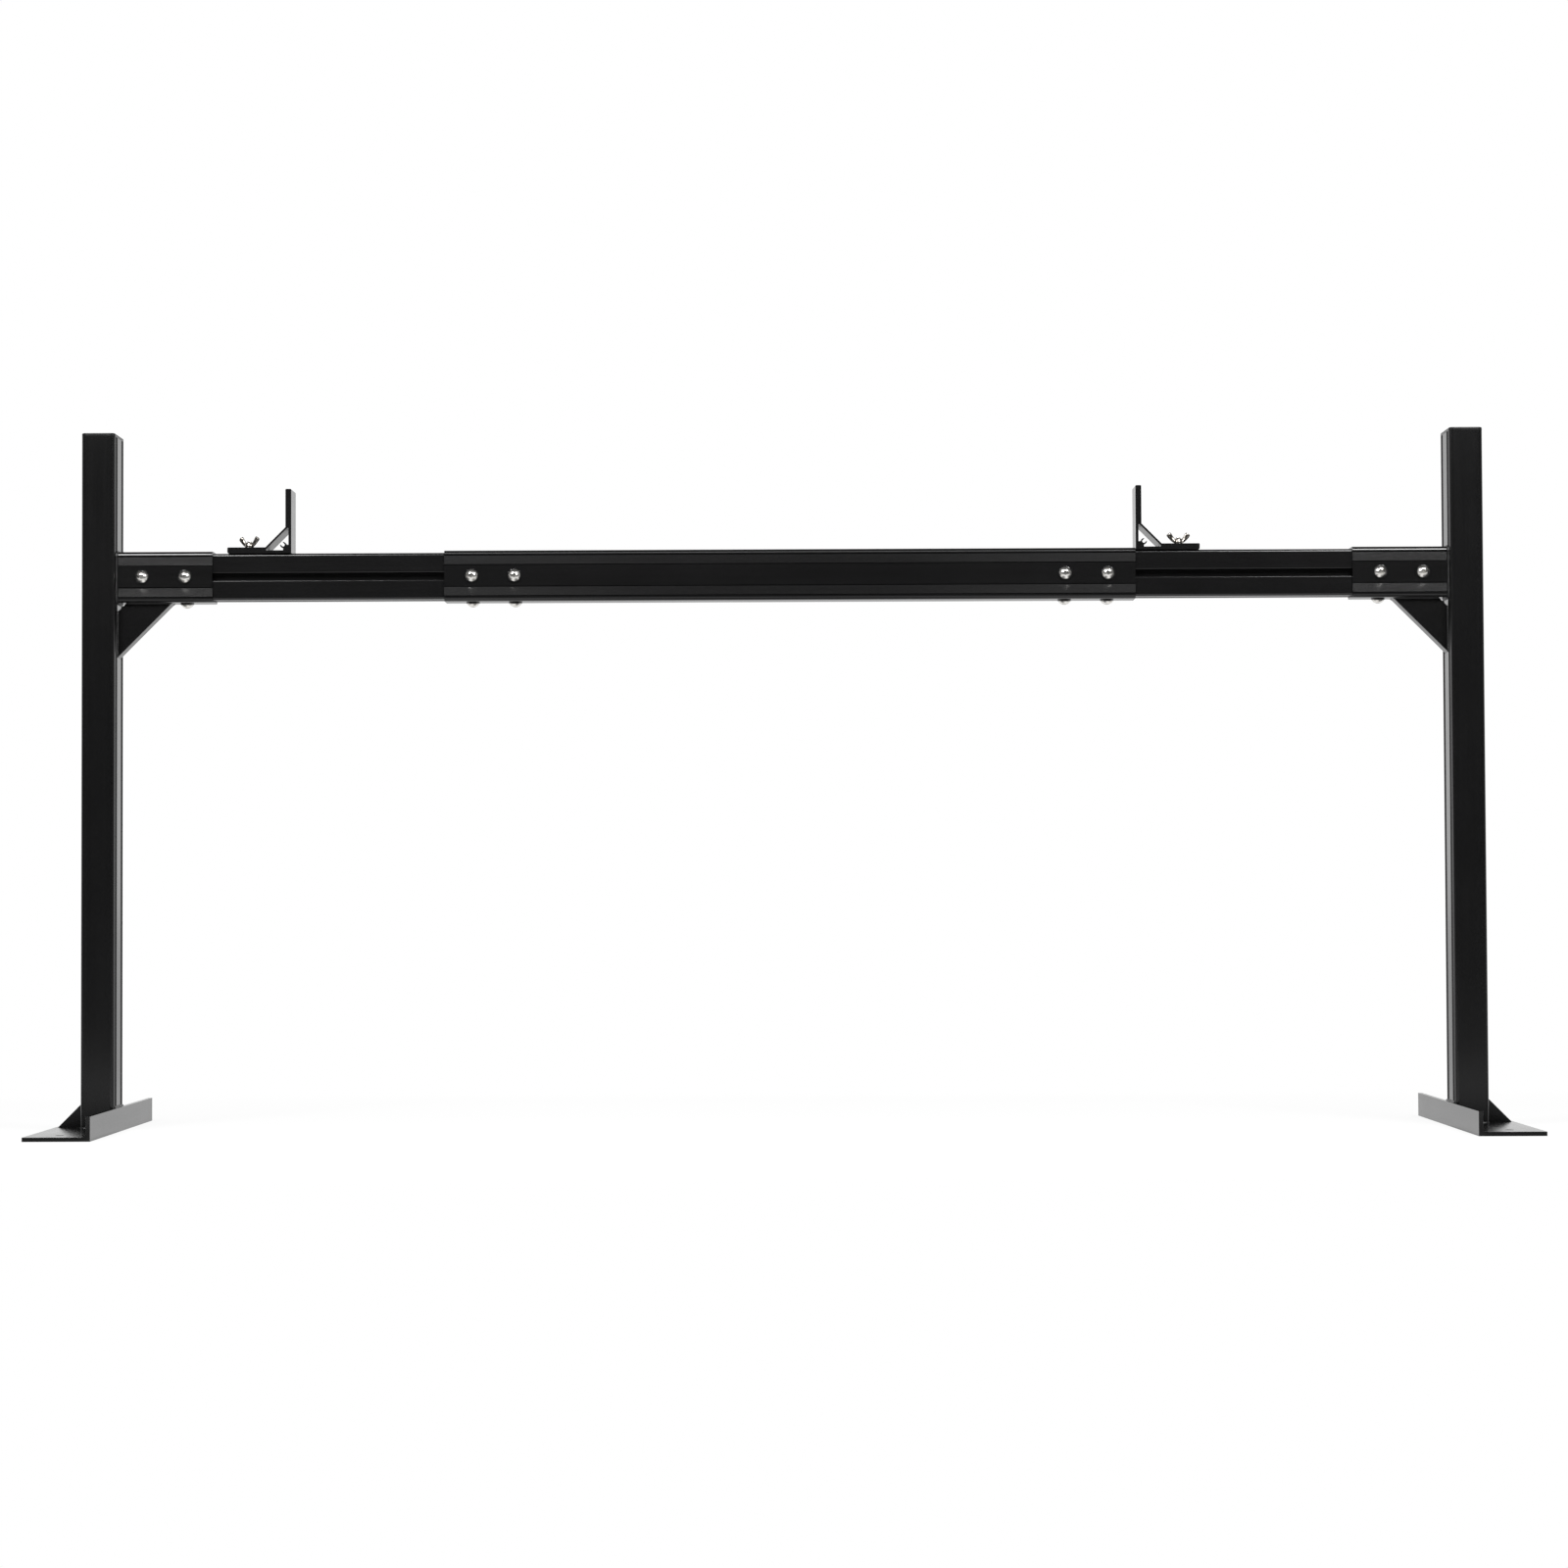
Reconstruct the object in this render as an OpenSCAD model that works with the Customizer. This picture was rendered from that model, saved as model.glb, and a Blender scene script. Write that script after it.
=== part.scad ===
// Ladder rack with one telescoping crossbar, two uprights on angle feet and two sliding load stops.
// Millimetres, +X to the right, +Y to the back, +Z up, origin on the ground midway between the feet.

/* [Rack] */
// Distance between the centre lines of the uprights
upright_span = 1634; // [1480:1:1800]
// Height of the rack to the top of its caps
rack_h = 834; // [760:1:950]
// Height of the crossbar's centre line
bar_z = 662; // [560:1:700]

/* [Ribbed tube] */
// Narrow side of the tube
tube_w = 40; // [38:0.5:50]
// Wide side of the tube
tube_d = 61; // [58:0.5:76]
// Wall of the tube
tube_wall = 2.2; // [1.8:0.1:3]
// Corner radius of the tube
tube_r = 5; // [4:0.1:5.2]
// Corner radius of the hollow inside the tube
hollow_r = 2; // [1:0.1:2.2]
// Plain edge beside each ribbed band
edge_land = 5.3; // [4:0.1:6]
// Width of the groove on both sides of a ribbed band
groove_w = 1.4; // [1:0.1:2]
// Depth of that groove
groove_depth = 0.9; // [0.5:0.1:1.2]
// Ribs in a band
rib_count = 8; // [4:1:9]
// Distance from rib to rib
rib_pitch = 1.27; // [1:0.01:1.4]
// Depth of the ribs
rib_depth = 0.45; // [0.2:0.05:0.6]

/* [Crossbar] */
// Length of the centre sleeve
sleeve_len = 827; // [700:1:900]
// How far the centre sleeve stands to the right of the middle
sleeve_shift = 9; // [0:0.5:20]
// Length of each socket on the uprights
socket_len = 115; // [100:1:140]
// How far the left bar reaches into the centre sleeve
bar_insert = 169; // [150:1:220]
// Gap between a bar's outer end and the upright
bar_end_gap = 2; // [1:0.5:5]
// Gap all round between a bar and the sleeve or socket around it
slide_gap = 0.3; // [0.2:0.05:0.6]
// Corner radius of the bar
bar_r = 3.4; // [2:0.1:4]
// Wall of the bar
bar_wall = 2; // [1.6:0.1:2.6]
// Width of a slot's mouth
slot_w = 9; // [8.6:0.1:10]
// Thickness of the lips beside a slot's mouth
slot_lip = 2.4; // [1.8:0.1:3]
// Bevel on the edges of a slot's mouth
slot_bevel = 0.7; // [0.3:0.1:1]
// Width of the channel behind a slot's mouth
channel_w = 14.4; // [13.8:0.1:16]
// Depth of that channel
channel_d = 6.4; // [6:0.1:7]

/* [Feet] */
// Length of a foot, fore and aft
foot_len = 406; // [300:1:500]
// Width of a foot, flange included
foot_w = 78; // [74:0.5:100]
// Thickness of the foot's plate and flange
foot_t = 5; // [4:0.1:7]
// Height of the foot's flange
flange_h = 28.5; // [22:0.5:40]
// Diameter of a hole in the foot
foot_hole_d = 10.5; // [8:0.1:13]
// Distance from a foot's end to its hole
foot_hole_inset = 35; // [20:0.5:50]

/* [Braces] */
// Length of the brace along the socket and along the upright
brace_leg = 65.5; // [50:0.5:80]
// Thickness of the braces and foot gussets
brace_t = 22; // [12:0.5:26]
// Clip off the brace's inner corner
brace_clip = 10.5; // [5:0.5:14]
// Length of a foot gusset along the plate and along the upright
gusset_leg = 30; // [20:0.5:32]

/* [Caps] */
// Thickness of a cap above the tube
cap_t = 4; // [3:0.1:6]
// Rounding of a cap's upper edge
cap_edge = 1.8; // [1:0.1:2.4]
// Depth of the cap's plug inside the tube
cap_plug = 14; // [8:0.5:25]
// Wall of the cap's plug
cap_plug_wall = 2; // [1.5:0.1:3]
// Gap between the plug and the tube
cap_gap = 0.1; // [0.05:0.05:0.2]

/* [Bolts] */
// Thread diameter of the bolts
bolt_d = 8; // [6:0.5:8]
// Diameter of a bolt's head
head_d = 14; // [12:0.5:15]
// Height of a bolt's head
head_h = 4.4; // [3.6:0.1:5]
// Straight rim at the bottom of the head
head_rim = 0.8; // [0.5:0.1:1.2]
// Hexagon key size across flats
key_w = 5; // [4:0.5:6]
// Depth of the key's socket
key_depth = 2.6; // [2:0.1:3]
// Outer diameter of the washers
washer_d = 16; // [15:0.5:18]
// Thickness of the washers
washer_t = 1.6; // [1:0.1:2]
// Distance between the two bolts in a row
bolt_pitch = 51; // [40:0.5:60]
// Distance from the end of a sleeve or socket to its first bolt
bolt_inset = 33; // [22:0.5:40]
// Gap between a bolt and the hole that it passes through
bolt_gap = 0.3; // [0.1:0.05:0.5]
// Length of thread that stands out of a slot nut
bolt_tip = 0.6; // [0.2:0.1:0.8]
// Side of the square slot nuts
nut_w = 13; // [12:0.1:13.2]
// Thickness of the slot nuts
nut_t = 5; // [4:0.1:5.2]

/* [Stops] */
// Height of a stop's leg
stop_h = 77; // [60:0.5:120]
// Length of a stop's foot
stop_l = 76.5; // [70:0.5:90]
// Thickness of the stop's leg and foot
stop_t = 7; // [5:0.1:9]
// Depth of a stop, fore and aft
stop_d = 40; // [30:0.5:50]
// Rounding of the free edges of the leg and the foot
stop_edge_r = 1.2; // [0.5:0.1:2]
// Where the web meets the leg and the foot, from the outer corner
web_reach = 31; // [26:0.5:34]
// Thickness of the web
web_t = 2.3; // [1.8:0.1:3]
// Wall of the leg and the foot beside the hollow
hollow_wall = 3.4; // [2.5:0.1:4.5]
// Side of the block in the hollow's corner
port_block = 6.4; // [5:0.1:7]
// Bore of the screw port in that block
port_d = 4; // [3:0.1:5]
// Wall of the screw port's prongs
port_wall = 1.6; // [1:0.1:1.8]
// Distance from the leg's face to the stop's bolt
stud_inset = 53; // [50:0.5:56]
// Gap between the left stop and the left socket
left_stop_gap = 18; // [10:0.5:60]
// Gap between the right stop and the centre sleeve
right_stop_gap = 0.5; // [0.3:0.1:20]
// Gap under a stop, so that it slides
stop_lift = 0.1; // [0.05:0.05:0.3]

/* [Stop clamps] */
// Thread diameter of a stop's bolt
stud_d = 6; // [5:0.5:7]
// Side of the square head of a stop's bolt
stud_head_w = 12.5; // [11:0.1:13.4]
// Thickness of that head
stud_head_t = 4; // [3:0.1:5]
// Outer diameter of a stop's washer
stud_washer_d = 13; // [12:0.5:16]
// Thickness of a stop's washer
stud_washer_t = 1.4; // [1:0.1:2]
// Length of thread that stands out of the wing nut's base
stud_tip = 1.5; // [0.5:0.1:4]
// Span of a wing nut
wing_span = 28; // [26:0.5:32]
// Height of a wing nut
wing_h = 15; // [13:0.5:18]
// Thickness of the wings
wing_t = 2.6; // [2:0.1:4]
// Radius of a wing's tip
wing_tip_r = 3.3; // [2.5:0.1:4]
// Diameter of the wing nut's base
wing_base_d = 11; // [10:0.5:13]
// Height of the wing nut's base
wing_base_h = 6; // [5:0.1:8]
// Taper of that base, on the radius
wing_base_taper = 1; // [0:0.1:1.5]
// Radius of a wing's root, inside the base
wing_root_r = 2; // [1.5:0.1:2.4]
// Height of that root above the washer
wing_root_h = 2.6; // [2.5:0.1:3.5]
// Turn of the left wing nut
left_wing_turn = -38; // [-90:1:90]
// Turn of the right wing nut
right_wing_turn = 6; // [-90:1:90]

/* [Hidden] */
$fn = 64;

left = -1;
right = 1;
satin_black = "#202022";
plastic_black = "#151516";
bright_zinc = "#c9ccd0";

// Running gap of a wing nut on its bolt, and of the nuts that slide in a channel
thread_gap = 0.05;
channel_gap = 0.25;
// Extra depth of a cut past the face that it starts from
over = 1;
// Crest of the ribs below the tube's face
crest_drop = 0.05;

// Uprights: both faces of the right one, counted from the middle
inner_x = upright_span / 2 - tube_w / 2;
outer_x = upright_span / 2 + tube_w / 2;
upright_top = rack_h - cap_t;

// Ribbed bands on the tube's wide faces
band_w = 2 * groove_w + rib_count * rib_pitch;
band_start = tube_d / 2 - edge_land;
band_end = band_start - band_w;

// Bar: section, ends and where its top lies
bar_h = tube_d - 2 * (tube_wall + slide_gap);
bar_w = tube_w - 2 * (tube_wall + slide_gap);
bar_top = bar_z + bar_h / 2;
channel_back = slot_lip + channel_d + bar_wall;
bar_out_x = inner_x - bar_end_gap;
bar_len = bar_out_x - (sleeve_len / 2 - sleeve_shift) + bar_insert;

// Ends of the socket and of the sleeve, counted from the middle on each side
socket_x = inner_x - socket_len;
function sleeve_end(side) = sleeve_len / 2 + side * sleeve_shift;

// Places of the bolts, counted from the middle on each side
function sleeve_bolt_x(side) = [for (i = [0, 1]) sleeve_end(side) - bolt_inset - i * bolt_pitch];
socket_bolt_x = [for (i = [0, 1]) socket_x + bolt_inset + i * bolt_pitch];
// Depth of the slot lip's inner face below the tube's outer face, and the bolt's length
lip_depth = tube_wall + slide_gap + slot_lip;
bolt_len = washer_t + lip_depth + channel_gap + nut_t + bolt_tip;
dome_h = head_h - head_rim;
dome_r = (pow(head_d / 2, 2) + dome_h * dome_h) / (2 * dome_h);

// Foot: where its flange starts and its holes lie
flange_x = inner_x - foot_t;
foot_hole_x = (inner_x + flange_x + foot_w) / 2;
foot_hole_y = foot_len / 2 - foot_hole_inset;

// Stops: the face of each leg, counted from the middle, and the clamp's levels
stop_base = bar_top + stop_lift;
left_stop_x = socket_x - left_stop_gap - stop_l;
right_stop_x = sleeve_end(right) + right_stop_gap;
stud_seat = stop_base + stop_t + stud_washer_t;
stud_head_top = bar_top - slot_lip - channel_gap;
stud_top = stud_seat + wing_base_h + stud_tip;

// Draws its children for the right side, or mirrored for the left side
module on_side(side) {
    if (side == left) mirror([1, 0, 0]) children();
    else children();
}

// Rectangle about the origin with round corners
module rounded(size, r) {
    square([size.x - 2 * r, size.y], center = true);
    square([size.x, size.y - 2 * r], center = true);
    for (sx = [-1, 1], sy = [-1, 1])
        translate([sx * (size.x / 2 - r), sy * (size.y / 2 - r)]) circle(r);
}

// Strip between two circles, round at both ends
module strip(p, rp, q, rq) {
    span = norm(q - p);
    aim = atan2(q.y - p.y, q.x - p.x);
    lean = acos((rp - rq) / span);
    function edge(c, r, a) = c + r * [cos(a), sin(a)];
    translate(p) circle(rp);
    translate(q) circle(rq);
    polygon([
        edge(p, rp, aim + lean), edge(q, rq, aim + lean),
        edge(q, rq, aim - lean), edge(p, rp, aim - lean)
    ]);
}

// One ribbed band with its two grooves, to be cut from the tube's upper face
module band_cut() {
    face = tube_w / 2;
    rib_start = band_start - groove_w;
    ribs = [for (i = [0:rib_count - 1]) each [
        [rib_start - i * rib_pitch, face - crest_drop],
        [rib_start - (i + 0.5) * rib_pitch, face - rib_depth]
    ]];
    polygon(concat(
        [[band_start, face + over], [band_start, face - groove_depth], [rib_start, face - groove_depth]],
        ribs,
        [[band_end + groove_w, face - crest_drop], [band_end + groove_w, face - groove_depth]],
        [[band_end, face - groove_depth], [band_end, face + over]]
    ));
}

// Section of the ribbed tube, wide side along X
module tube_section() {
    difference() {
        rounded([tube_d, tube_w], tube_r);
        rounded([tube_d - 2 * tube_wall, tube_w - 2 * tube_wall], hollow_r);
        for (mx = [0, 1], my = [0, 1]) mirror([mx, 0]) mirror([0, my]) band_cut();
    }
}

// Mouth and channel of one slot, in the face that lies face_y above the origin
module slot_cut(face_y) {
    mouth = slot_w / 2;
    translate([-mouth, face_y - slot_lip - over]) square([slot_w, slot_lip + 2 * over]);
    translate([-channel_w / 2, face_y - slot_lip - channel_d]) square([channel_w, channel_d]);
    polygon([
        [-mouth - slot_bevel - over, face_y + over], [-mouth, face_y - slot_bevel],
        [mouth, face_y - slot_bevel], [mouth + slot_bevel + over, face_y + over]
    ]);
}

// Block around one channel, left standing when the bar's middle is hollowed
module channel_block(face_y) {
    width = channel_w + 2 * bar_wall;
    translate([-width / 2, face_y - channel_back]) square([width, channel_back]);
}

// Puts its children at the bar's front, back, top and bottom faces
module bar_faces() {
    for (turn = [0, 180]) {
        rotate(turn) translate([0, bar_w / 2]) children();
        rotate(turn + 90) translate([0, bar_h / 2]) children();
    }
}

// Section of the slotted bar, tall side along X
module bar_section() {
    difference() {
        rounded([bar_h, bar_w], bar_r);
        bar_faces() slot_cut(0);
        difference() {
            square([bar_h - 2 * bar_wall, bar_w - 2 * bar_wall], center = true);
            bar_faces() channel_block(0);
        }
    }
}

// Extrudes a section along the crossbar from x0
module along_bar(x0, len) {
    translate([x0, 0, bar_z]) rotate([0, 90, 0]) linear_extrude(len) children();
}

// Places on the tube's front and lower faces, with the fastener's head outwards along +Z
module on_front(x) {
    translate([x, -tube_w / 2, bar_z]) rotate([90, 0, 0]) children();
}
module below(x) {
    translate([x, 0, bar_z - tube_d / 2]) rotate([180, 0, 0]) children();
}

// Hole in the tube's wall for one bolt
module bolt_hole() {
    translate([0, 0, -tube_wall - over]) cylinder(h = tube_wall + 2 * over, d = bolt_d + 2 * bolt_gap);
}

// Places of the bolts on one end of the centre sleeve, and on one socket
module at_sleeve_bolts(side) {
    for (x = sleeve_bolt_x(side)) {
        on_front(side * x) children();
        below(side * x) children();
    }
}
module at_socket_bolts(side) {
    for (x = socket_bolt_x) on_front(side * x) children();
    below(side * socket_bolt_x[0]) children();
}

// Button-head bolt that stands on a washer on the tube's face at z = 0
module bolt() {
    translate([0, 0, washer_t]) {
        difference() {
            union() {
                cylinder(h = head_rim, d = head_d);
                translate([0, 0, head_rim]) rotate_extrude() intersection() {
                    translate([0, dome_h - dome_r]) circle(dome_r);
                    square([head_d, head_h]);
                }
            }
            translate([0, 0, head_h - key_depth]) rotate(30)
                cylinder(h = key_depth + over, d = key_w / cos(30), $fn = 6);
        }
        translate([0, 0, -bolt_len]) cylinder(h = bolt_len, d = bolt_d);
    }
}

module washer() {
    difference() {
        cylinder(h = washer_t, d = washer_d);
        translate([0, 0, -over]) cylinder(h = washer_t + 2 * over, d = bolt_d + 2 * bolt_gap);
    }
}

// Square nut whose upper face lies the given gap behind the slot's lips
module slot_nut(gap) {
    translate([0, 0, -lip_depth - gap - nut_t]) difference() {
        translate([-nut_w / 2, -nut_w / 2, 0]) cube([nut_w, nut_w, nut_t]);
        translate([0, 0, -over]) cylinder(h = nut_t + 2 * over, d = bolt_d + 2 * thread_gap);
    }
}

module centre_sleeve() {
    color(satin_black) difference() {
        along_bar(-sleeve_end(left), sleeve_len) tube_section();
        for (side = [left, right]) at_sleeve_bolts(side) bolt_hole();
    }
}

module centre_bolts() {
    color(bright_zinc) for (side = [left, right]) at_sleeve_bolts(side) bolt();
}

module centre_washers() {
    color(bright_zinc) for (side = [left, right]) at_sleeve_bolts(side) washer();
}

module centre_nuts() {
    color(bright_zinc) for (side = [left, right]) at_sleeve_bolts(side) slot_nut(channel_gap);
}

module upright(side) {
    color(satin_black) translate([side * upright_span / 2, 0, foot_t])
        linear_extrude(upright_top - foot_t) rotate(90) tube_section();
}

// Cap with a rounded upper edge and a hollow plug
module top_cap(side) {
    plug_d = tube_d - 2 * tube_wall - 2 * cap_gap;
    plug_w = tube_w - 2 * tube_wall - 2 * cap_gap;
    color(plastic_black) translate([side * upright_span / 2, 0, upright_top]) {
        hull() for (a = [0:30:90]) {
            inset = cap_edge * (1 - cos(a));
            level = cap_t - cap_edge * (1 - sin(a));
            // The corners tighten half as fast as the sides move in, so that they never vanish
            corner_r = tube_r - inset / 2;
            linear_extrude(level, $fn = 32) rounded([tube_w - 2 * inset, tube_d - 2 * inset], corner_r);
        }
        translate([0, 0, -cap_plug]) linear_extrude(cap_plug) difference() {
            rounded([plug_w, plug_d], hollow_r);
            square([plug_w - 2 * cap_plug_wall, plug_d - 2 * cap_plug_wall], center = true);
        }
    }
}

// Angle with its plate on the ground, its flange up against the upright and a hole near each end
module foot(side) {
    color(satin_black) on_side(side) difference() {
        translate([flange_x, foot_len / 2, 0]) rotate([90, 0, 0]) linear_extrude(foot_len) {
            square([foot_w, foot_t]);
            square([foot_t, flange_h]);
        }
        for (sy = [-1, 1]) translate([foot_hole_x, sy * foot_hole_y, -over])
            cylinder(h = foot_t + 2 * over, d = foot_hole_d);
    }
}

// Triangle of thick plate between the upright's outer face and the foot
module foot_gusset(side) {
    color(satin_black) on_side(side) translate([outer_x, brace_t / 2, foot_t]) rotate([90, 0, 0])
        linear_extrude(brace_t) polygon([[0, 0], [gusset_leg, 0], [0, gusset_leg]]);
}

module socket(side) {
    color(satin_black) difference() {
        on_side(side) along_bar(socket_x, socket_len) tube_section();
        at_socket_bolts(side) bolt_hole();
    }
}

// Triangle of thick plate between the socket and the upright's inner face
module brace(side) {
    color(satin_black) on_side(side) translate([inner_x, brace_t / 2, bar_z - tube_d / 2]) rotate([90, 0, 0])
        linear_extrude(brace_t) polygon([
            [0, -brace_leg], [0, -brace_clip], [-brace_clip, 0], [-brace_leg, 0]
        ]);
}

module bar(side) {
    color(satin_black) on_side(side) along_bar(bar_out_x - bar_len, bar_len) bar_section();
}

module socket_bolts(side) {
    color(bright_zinc) at_socket_bolts(side) bolt();
}

module socket_washers(side) {
    color(bright_zinc) at_socket_bolts(side) washer();
}

module socket_nuts(side) {
    color(bright_zinc) at_socket_bolts(side) slot_nut(0);
}

// Section of a stop: the leg's face is at x = 0 and the foot lies along +X
module stop_section() {
    web_line = web_reach + stop_t;
    hollow_line = web_line - web_t * sqrt(2);
    hollow_end = web_reach - web_t / 2;
    hollow_cut = hollow_line - hollow_end;
    port = hollow_wall + port_block;
    difference() {
        union() {
            translate([stop_t / 2, stop_h / 2]) rounded([stop_t, stop_h], stop_edge_r);
            translate([stop_l / 2, stop_t / 2]) rounded([stop_l, stop_t], stop_edge_r);
            square(stop_t);
            polygon([[stop_t, stop_t], [web_reach, stop_t], [stop_t, web_reach]]);
        }
        difference() {
            polygon([
                [hollow_wall, hollow_wall], [hollow_end, hollow_wall], [hollow_end, hollow_cut],
                [hollow_cut, hollow_end], [hollow_wall, hollow_end]
            ]);
            screw_port(port);
        }
    }
}

// Corner block with an open, C-shaped screw port that faces the web
module screw_port(at) {
    difference() {
        union() {
            square(at);
            translate([at, at]) circle(port_d / 2 + port_wall);
        }
        translate([at, at]) {
            circle(port_d / 2);
            rotate(45) translate([port_d / 4, -port_d / 2]) square([port_d + port_wall, port_d]);
        }
    }
}

// Stop on the bar, with its leg's face stop_x from the middle
module stop(side, stop_x) {
    color(satin_black) on_side(side) translate([stop_x, 0, stop_base]) difference() {
        translate([0, stop_d / 2, 0]) rotate([90, 0, 0]) linear_extrude(stop_d) stop_section();
        translate([stud_inset, 0, -over]) cylinder(h = stop_t + 2 * over, d = stud_d + 2 * bolt_gap);
    }
}

// T bolt with its square head in the bar's top channel
module stop_bolt(side, stop_x) {
    color(bright_zinc) on_side(side) translate([stop_x + stud_inset, 0, stud_head_top]) {
        translate([-stud_head_w / 2, -stud_head_w / 2, -stud_head_t])
            cube([stud_head_w, stud_head_w, stud_head_t]);
        cylinder(h = stud_top - stud_head_top, d = stud_d);
    }
}

module stop_washer(side, stop_x) {
    color(bright_zinc) on_side(side) translate([stop_x + stud_inset, 0, stop_base + stop_t]) difference() {
        cylinder(h = stud_washer_t, d = stud_washer_d);
        translate([0, 0, -over]) cylinder(h = stud_washer_t + 2 * over, d = stud_d + 2 * bolt_gap);
    }
}

// Wing nut with a tapered base and two wings that lean outwards
module wing_nut(side, stop_x, turn) {
    tip = [wing_span / 2 - wing_tip_r, wing_h - wing_tip_r];
    base_r = wing_base_d / 2;
    base_top_r = base_r - wing_base_taper;
    root = [base_r - wing_root_r, wing_root_h];
    color(bright_zinc) translate([side * (stop_x + stud_inset), 0, stud_seat + thread_gap]) rotate(turn)
        difference() {
            union() {
                rotate_extrude() polygon([[0, 0], [base_r, 0], [base_top_r, wing_base_h], [0, wing_base_h]]);
                for (a = [0, 180]) rotate(a) translate([0, wing_t / 2, 0]) rotate([90, 0, 0])
                    linear_extrude(wing_t) strip(root, wing_root_r, tip, wing_tip_r);
            }
            translate([0, 0, -over]) cylinder(h = wing_h + 2 * over, d = stud_d + 2 * thread_gap);
        }
}

centre_sleeve();
centre_bolts();
centre_washers();
centre_nuts();
upright(left);  // left_upright
top_cap(left);  // left_top_cap
foot(left);  // left_foot
foot_gusset(left);  // left_foot_gusset
socket(left);  // left_socket
brace(left);  // left_brace
bar(left);  // left_bar
socket_bolts(left);  // left_socket_bolts
socket_washers(left);  // left_socket_washers
socket_nuts(left);  // left_socket_nuts
stop(left, left_stop_x);  // left_stop
stop_bolt(left, left_stop_x);  // left_stop_bolt
stop_washer(left, left_stop_x);  // left_stop_washer
wing_nut(left, left_stop_x, left_wing_turn);  // left_wing_nut
upright(right);  // right_upright
top_cap(right);  // right_top_cap
foot(right);  // right_foot
foot_gusset(right);  // right_foot_gusset
socket(right);  // right_socket
brace(right);  // right_brace
bar(right);  // right_bar
socket_bolts(right);  // right_socket_bolts
socket_washers(right);  // right_socket_washers
socket_nuts(right);  // right_socket_nuts
stop(right, right_stop_x);  // right_stop
stop_bolt(right, right_stop_x);  // right_stop_bolt
stop_washer(right, right_stop_x);  // right_stop_washer
wing_nut(right, right_stop_x, right_wing_turn);  // right_wing_nut
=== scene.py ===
"""Looks of a ladder rack: coated tubes, welds, zinc fasteners, plastic caps and a white studio."""

import math

import bmesh
import bpy
from bpy.props import FloatProperty, FloatVectorProperty, PointerProperty
from mathutils import Matrix, Vector


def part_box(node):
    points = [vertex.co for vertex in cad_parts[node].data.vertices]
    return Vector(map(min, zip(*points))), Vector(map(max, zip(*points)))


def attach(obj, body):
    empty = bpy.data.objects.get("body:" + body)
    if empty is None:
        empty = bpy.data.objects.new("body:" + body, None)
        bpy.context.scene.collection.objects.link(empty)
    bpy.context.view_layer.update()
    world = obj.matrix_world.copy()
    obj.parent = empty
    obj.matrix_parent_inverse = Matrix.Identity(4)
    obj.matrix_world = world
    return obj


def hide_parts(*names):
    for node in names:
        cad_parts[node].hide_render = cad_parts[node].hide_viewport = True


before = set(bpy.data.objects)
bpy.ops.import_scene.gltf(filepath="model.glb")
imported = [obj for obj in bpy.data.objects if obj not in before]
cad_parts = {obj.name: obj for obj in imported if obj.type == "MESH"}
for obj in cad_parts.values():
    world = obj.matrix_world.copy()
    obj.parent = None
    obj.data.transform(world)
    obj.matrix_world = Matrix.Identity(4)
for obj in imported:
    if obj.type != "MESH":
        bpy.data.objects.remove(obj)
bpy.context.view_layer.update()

bl_info = {
    "name": "Ladder rack finish",
    "version": (1, 0, 0),
    "blender": (4, 5, 0),
    "location": "3D View > Sidebar > Ladder rack",
    "description": "Dresses the rack's solids: coat, welds, rounded edges, fasteners, caps, studio",
    "category": "Object",
}

MM = 0.001
SIDES = {"left": -1, "right": 1}
X, Y, Z = 0, 1, 2
ALONG, ACROSS, UP = Vector((1, 0, 0)), Vector((0, 1, 0)), Vector((0, 0, 1))
WHITE = (1, 1, 1, 1)
HALF = 0.5                        # middle of a noise

# Work on meshes
MERGE = 1e-6                      # corners closer than this are one corner
SEAM = 0.05 * MM                  # the two ends of a closed bead meet within this
LEVEL = 0.01 * MM                 # corners closer than this to a plane lie in it
TINY = 1e-9                       # keeps a division away from zero
FLAT = math.radians(0.6)          # faces within this angle are one flat face
SHARP = math.radians(28)          # edges turned more than this are corners
SMOOTH = math.radians(40)         # shading breaks at edges turned more than this
FACES_DOWN = -0.9                 # a face with its normal lower than this faces down
QUARTER_STEPS = 4                 # steps of a path round a quarter turn
FEWEST_STEPS = 8                  # steps of the shortest bead

# Sizes that the solids have
TUBE_CORNER = 5 * MM              # corner radius of the ribbed tube
HOLLOW_CORNER = 2 * MM            # corner radius inside it
FOOT_PLATE = 5 * MM               # thickness of a foot's angle
BRACE_CLIP = 10.5 * MM            # what is clipped off a brace's inner corner
PLUG_INSET = 2.3 * MM             # how far a cap's plug stands in from its head
PLUG_WALL = 2 * MM                # wall of that plug
STUD_HEAD = 4 * MM                # height of a T bolt's head
OVERLAP = 1 * MM                  # how far two shapes of one piece run into each other

# A weld bead
RIPPLE_SWELL = (0.97, 1.03, 1.06, 1.01)    # width over the steps of one ripple
BEAD_ENDS = (0.25, 0.62, 0.85, 0.96)       # width over the first and the last steps
BEAD_WANDER = ((0.05, 0.37, 0), (0.04, 0.11, 2))    # slow changes: size, pace and start
BEAD_HEIGHT = 0.72                # height against half width
BEAD_SIDES = 10                   # facets round it

# Camera of the photograph, fitted to the rack's own corners
CAMERA_PLACE = (0.012286, -4.388212, 0.268909)
CAMERA_YAW, CAMERA_PITCH, CAMERA_ROLL = -0.14677, 1.86292, -0.23699
CAMERA_LENS, CAMERA_SENSOR = 84.0506, 36.0
CAMERA_CLIP = (0.1, 300)


def edge_of(node, axis, high):
    """One side of a solid's box, in metres."""
    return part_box(node)[1 if high else 0][axis]


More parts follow.
